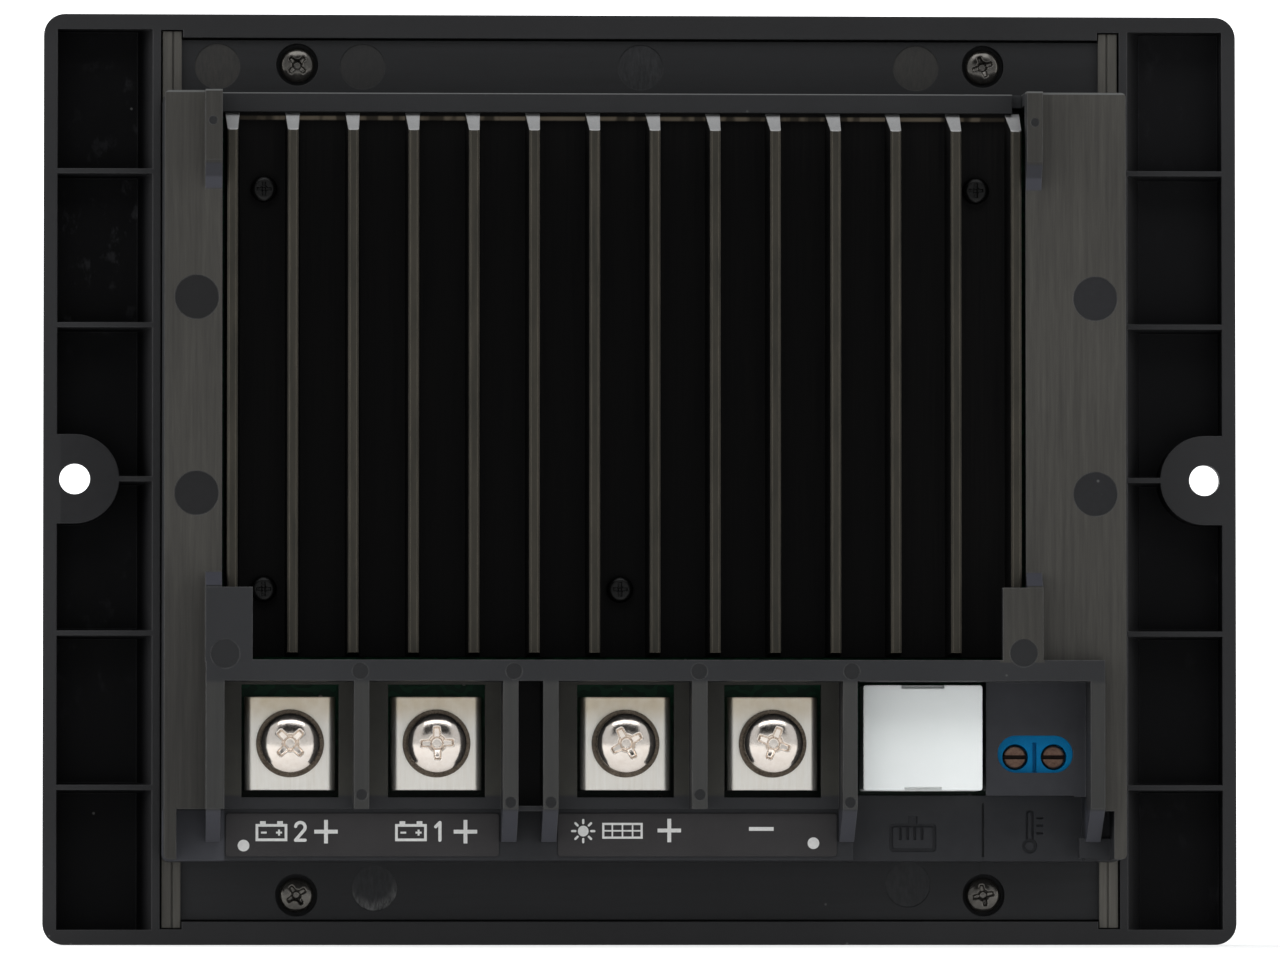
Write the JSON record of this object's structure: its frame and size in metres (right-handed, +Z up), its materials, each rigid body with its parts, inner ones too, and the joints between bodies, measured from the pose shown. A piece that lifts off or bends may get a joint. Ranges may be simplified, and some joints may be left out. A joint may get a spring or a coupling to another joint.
{
  "type": "solar charge controller",
  "caption": "Flush-mount solar charge controller: ribbed bezel frame, rear case with finned heat sink, walled screw terminals, modular jack and sensor terminal block.",
  "frame": {"origin": "midway between the two wall screws, on the plane where the bezel's rear rim meets the wall", "axes": "+Z up as fitted, +Y out of the rear into the wall, front face and display towards -Y, +X along the line of the wall screws"},
  "size_m": [0.19, 0.0337, 0.148],
  "materials": {
    "case_plastic": "black ABS, fine spark texture with polished ejector sinks",
    "clear_window": "clear acrylic",
    "overlay_film": "matte printed film",
    "lcd_glass": "polished glass",
    "tray_plastic": "white moulded tray",
    "board_green": "green solder mask",
    "switch_black": "moulded",
    "button_grey": "satin keycap",
    "lamp_clear": "clear epoxy",
    "steel_zinc": "zinc plated",
    "steel_black": "black oxide",
    "nickel": "nickel plate",
    "tongue_plastic": "moulded",
    "anodised": "black anodised extrusion, bare sawn ends",
    "thermal_grey": "silicone pad",
    "epoxy_black": "moulded package",
    "cap_sleeve": "shrink sleeve",
    "shunt_alloy": "copper alloy",
    "marking": "printed plate",
    "white_plastic": "white moulded",
    "gold_contact": "gold plate",
    "blue_plastic": "blue moulded",
    "brass_screw": "coppery plated, slotted"
  },
  "bodies": {
    "controller": {"front_bezel": "case_plastic", "rear_case": "case_plastic", "front_overlay": "overlay_film", "display_window": "clear_window", "display_tray": "tray_plastic", "display_glass": "lcd_glass", "display_board": "board_green", "display_board_screws": "steel_zinc", "button_switches": "switch_black", "status_lamps": "lamp_clear", "charge_port_shell": "steel_zinc", "charge_port_tongue": "tongue_plastic", "main_board": "board_green", "main_board_screws": "steel_zinc", "board_link_connector": "switch_black", "control_chips": "epoxy_black", "power_transistors": "epoxy_black", "thermal_strip": "thermal_grey", "capacitors": "cap_sleeve", "current_shunt": "shunt_alloy", "heat_sink": "anodised", "heat_sink_screws": "steel_black", "heat_sink_spacers": "steel_zinc", "case_screws": "steel_black", "battery_marking_plate": "marking", "array_marking_plate": "marking", "terminal_nuts": "steel_zinc", "remote_socket": "white_plastic", "remote_socket_contacts": "gold_contact", "sensor_terminal_block": "blue_plastic", "sensor_pins": "nickel", "battery_2_terminal": "nickel", "battery_1_terminal": "nickel", "array_terminal": "nickel", "negative_terminal": "nickel"},
    "boost_button": {"boost_button": "button_grey", "boost_button_plunger": "switch_black"},
    "battery_type_button": {"battery_type_button": "button_grey", "battery_type_button_plunger": "switch_black"},
    "bank_select_button": {"bank_select_button": "button_grey", "bank_select_button_plunger": "switch_black"},
    "reading_select_button": {"reading_select_button": "button_grey", "reading_select_button_plunger": "switch_black"},
    "battery_2_washers": {"battery_2_washers": "nickel"},
    "battery_2_screw": {"battery_2_screw": "nickel"},
    "battery_1_washers": {"battery_1_washers": "nickel"},
    "battery_1_screw": {"battery_1_screw": "nickel"},
    "array_washers": {"array_washers": "nickel"},
    "array_screw": {"array_screw": "nickel"},
    "negative_washers": {"negative_washers": "nickel"},
    "negative_screw": {"negative_screw": "nickel"},
    "sensor_left_cage": {"sensor_left_cage": "nickel"},
    "sensor_left_screw": {"sensor_left_screw": "brass_screw"},
    "sensor_right_cage": {"sensor_right_cage": "nickel"},
    "sensor_right_screw": {"sensor_right_screw": "brass_screw"}
  },
  "joints": [
    {"name": "boost_button_press", "type": "slide", "parent": "controller", "child": "boost_button", "axis": [0, 1, 0], "range_m": [0, 0.0003], "stiffness_N_per_m": 8000, "springref_m": -0.00005},
    {"name": "battery_type_button_press", "type": "slide", "parent": "controller", "child": "battery_type_button", "axis": [0, 1, 0], "range_m": [0, 0.0003], "stiffness_N_per_m": 8000, "springref_m": -0.00005},
    {"name": "bank_select_button_press", "type": "slide", "parent": "controller", "child": "bank_select_button", "axis": [0, 1, 0], "range_m": [0, 0.0003], "stiffness_N_per_m": 8000, "springref_m": -0.00005},
    {"name": "reading_select_button_press", "type": "slide", "parent": "controller", "child": "reading_select_button", "axis": [0, 1, 0], "range_m": [0, 0.0003], "stiffness_N_per_m": 8000, "springref_m": -0.00005},
    {"name": "battery_2_lift", "type": "slide", "parent": "controller", "child": "battery_2_washers", "axis": [0, 1, 0], "range_m": [0, 0.005]},
    {"name": "battery_2_turn", "type": "hinge", "parent": "battery_2_washers", "child": "battery_2_screw", "pos_m": [0.0559, 0.012, -0.0422], "axis": [0, 1, 0], "range_deg": [0, 2252]},
    {"name": "battery_1_lift", "type": "slide", "parent": "controller", "child": "battery_1_washers", "axis": [0, 1, 0], "range_m": [0, 0.005]},
    {"name": "battery_1_turn", "type": "hinge", "parent": "battery_1_washers", "child": "battery_1_screw", "pos_m": [0.0328, 0.012, -0.0422], "axis": [0, 1, 0], "range_deg": [0, 2252]},
    {"name": "array_lift", "type": "slide", "parent": "controller", "child": "array_washers", "axis": [0, 1, 0], "range_m": [0, 0.005]},
    {"name": "array_turn", "type": "hinge", "parent": "array_washers", "child": "array_screw", "pos_m": [0.00295, 0.012, -0.0422], "axis": [0, 1, 0], "range_deg": [0, 2252]},
    {"name": "negative_lift", "type": "slide", "parent": "controller", "child": "negative_washers", "axis": [0, 1, 0], "range_m": [0, 0.005]},
    {"name": "negative_turn", "type": "hinge", "parent": "negative_washers", "child": "negative_screw", "pos_m": [-0.0203, 0.012, -0.0422], "axis": [0, 1, 0], "range_deg": [0, 2252]},
    {"name": "sensor_left_grip", "type": "slide", "parent": "controller", "child": "sensor_left_cage", "axis": [0, 1, 0], "range_m": [0, 0.0018]},
    {"name": "sensor_left_turn", "type": "hinge", "parent": "controller", "child": "sensor_left_screw", "pos_m": [-0.05875, 0.01, -0.0443], "axis": [0, -1, 0], "range_deg": [0, 1298]},
    {"name": "sensor_right_grip", "type": "slide", "parent": "controller", "child": "sensor_right_cage", "axis": [0, 1, 0], "range_m": [0, 0.0018]},
    {"name": "sensor_right_turn", "type": "hinge", "parent": "controller", "child": "sensor_right_screw", "pos_m": [-0.06485, 0.01, -0.0443], "axis": [0, -1, 0], "range_deg": [0, 1298]}
  ],
  "couplings": [
    {"joint": "battery_2_turn", "follows": "battery_2_lift", "rad_per_m": 7854},
    {"joint": "battery_1_turn", "follows": "battery_1_lift", "rad_per_m": 7854},
    {"joint": "array_turn", "follows": "array_lift", "rad_per_m": 7854},
    {"joint": "negative_turn", "follows": "negative_lift", "rad_per_m": 7854},
    {"joint": "sensor_left_turn", "follows": "sensor_left_grip", "rad_per_m": 12566},
    {"joint": "sensor_right_turn", "follows": "sensor_right_grip", "rad_per_m": 12566}
  ]
}
